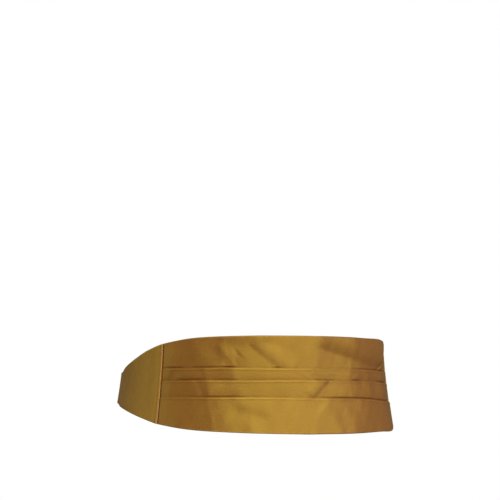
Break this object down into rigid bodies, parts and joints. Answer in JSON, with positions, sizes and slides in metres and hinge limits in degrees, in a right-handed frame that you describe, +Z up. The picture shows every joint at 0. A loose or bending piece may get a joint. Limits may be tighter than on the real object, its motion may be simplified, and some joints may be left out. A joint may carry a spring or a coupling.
{
  "type": "cummerbund",
  "caption": "Pleated satin sash worn round the waist: a tall front panel with upward-opening folds, plain tapering side wings and a narrow fastened back strap.",
  "frame": {"origin": "middle of the waist opening, level with the middle of the front panel's height", "axes": "+X to the wearer's left, +Y to the wearer's back, +Z up; the front panel faces -Y"},
  "size_m": [0.3444, 0.2688, 0.1159],
  "materials": {
    "pleated_satin": "antique gold satin with a soft sheen",
    "plain_satin": "antique gold satin, plain and a little duller",
    "strap_satin": "antique gold satin band",
    "clasp_metal": "plain gilt metal, satin polished"
  },
  "bodies": {
    "root": {"front_panel": "pleated_satin", "left_wing": "plain_satin", "right_wing": "plain_satin", "left_strap": "strap_satin", "right_strap": "strap_satin", "back_clasp": "clasp_metal"}
  },
  "joints": []
}
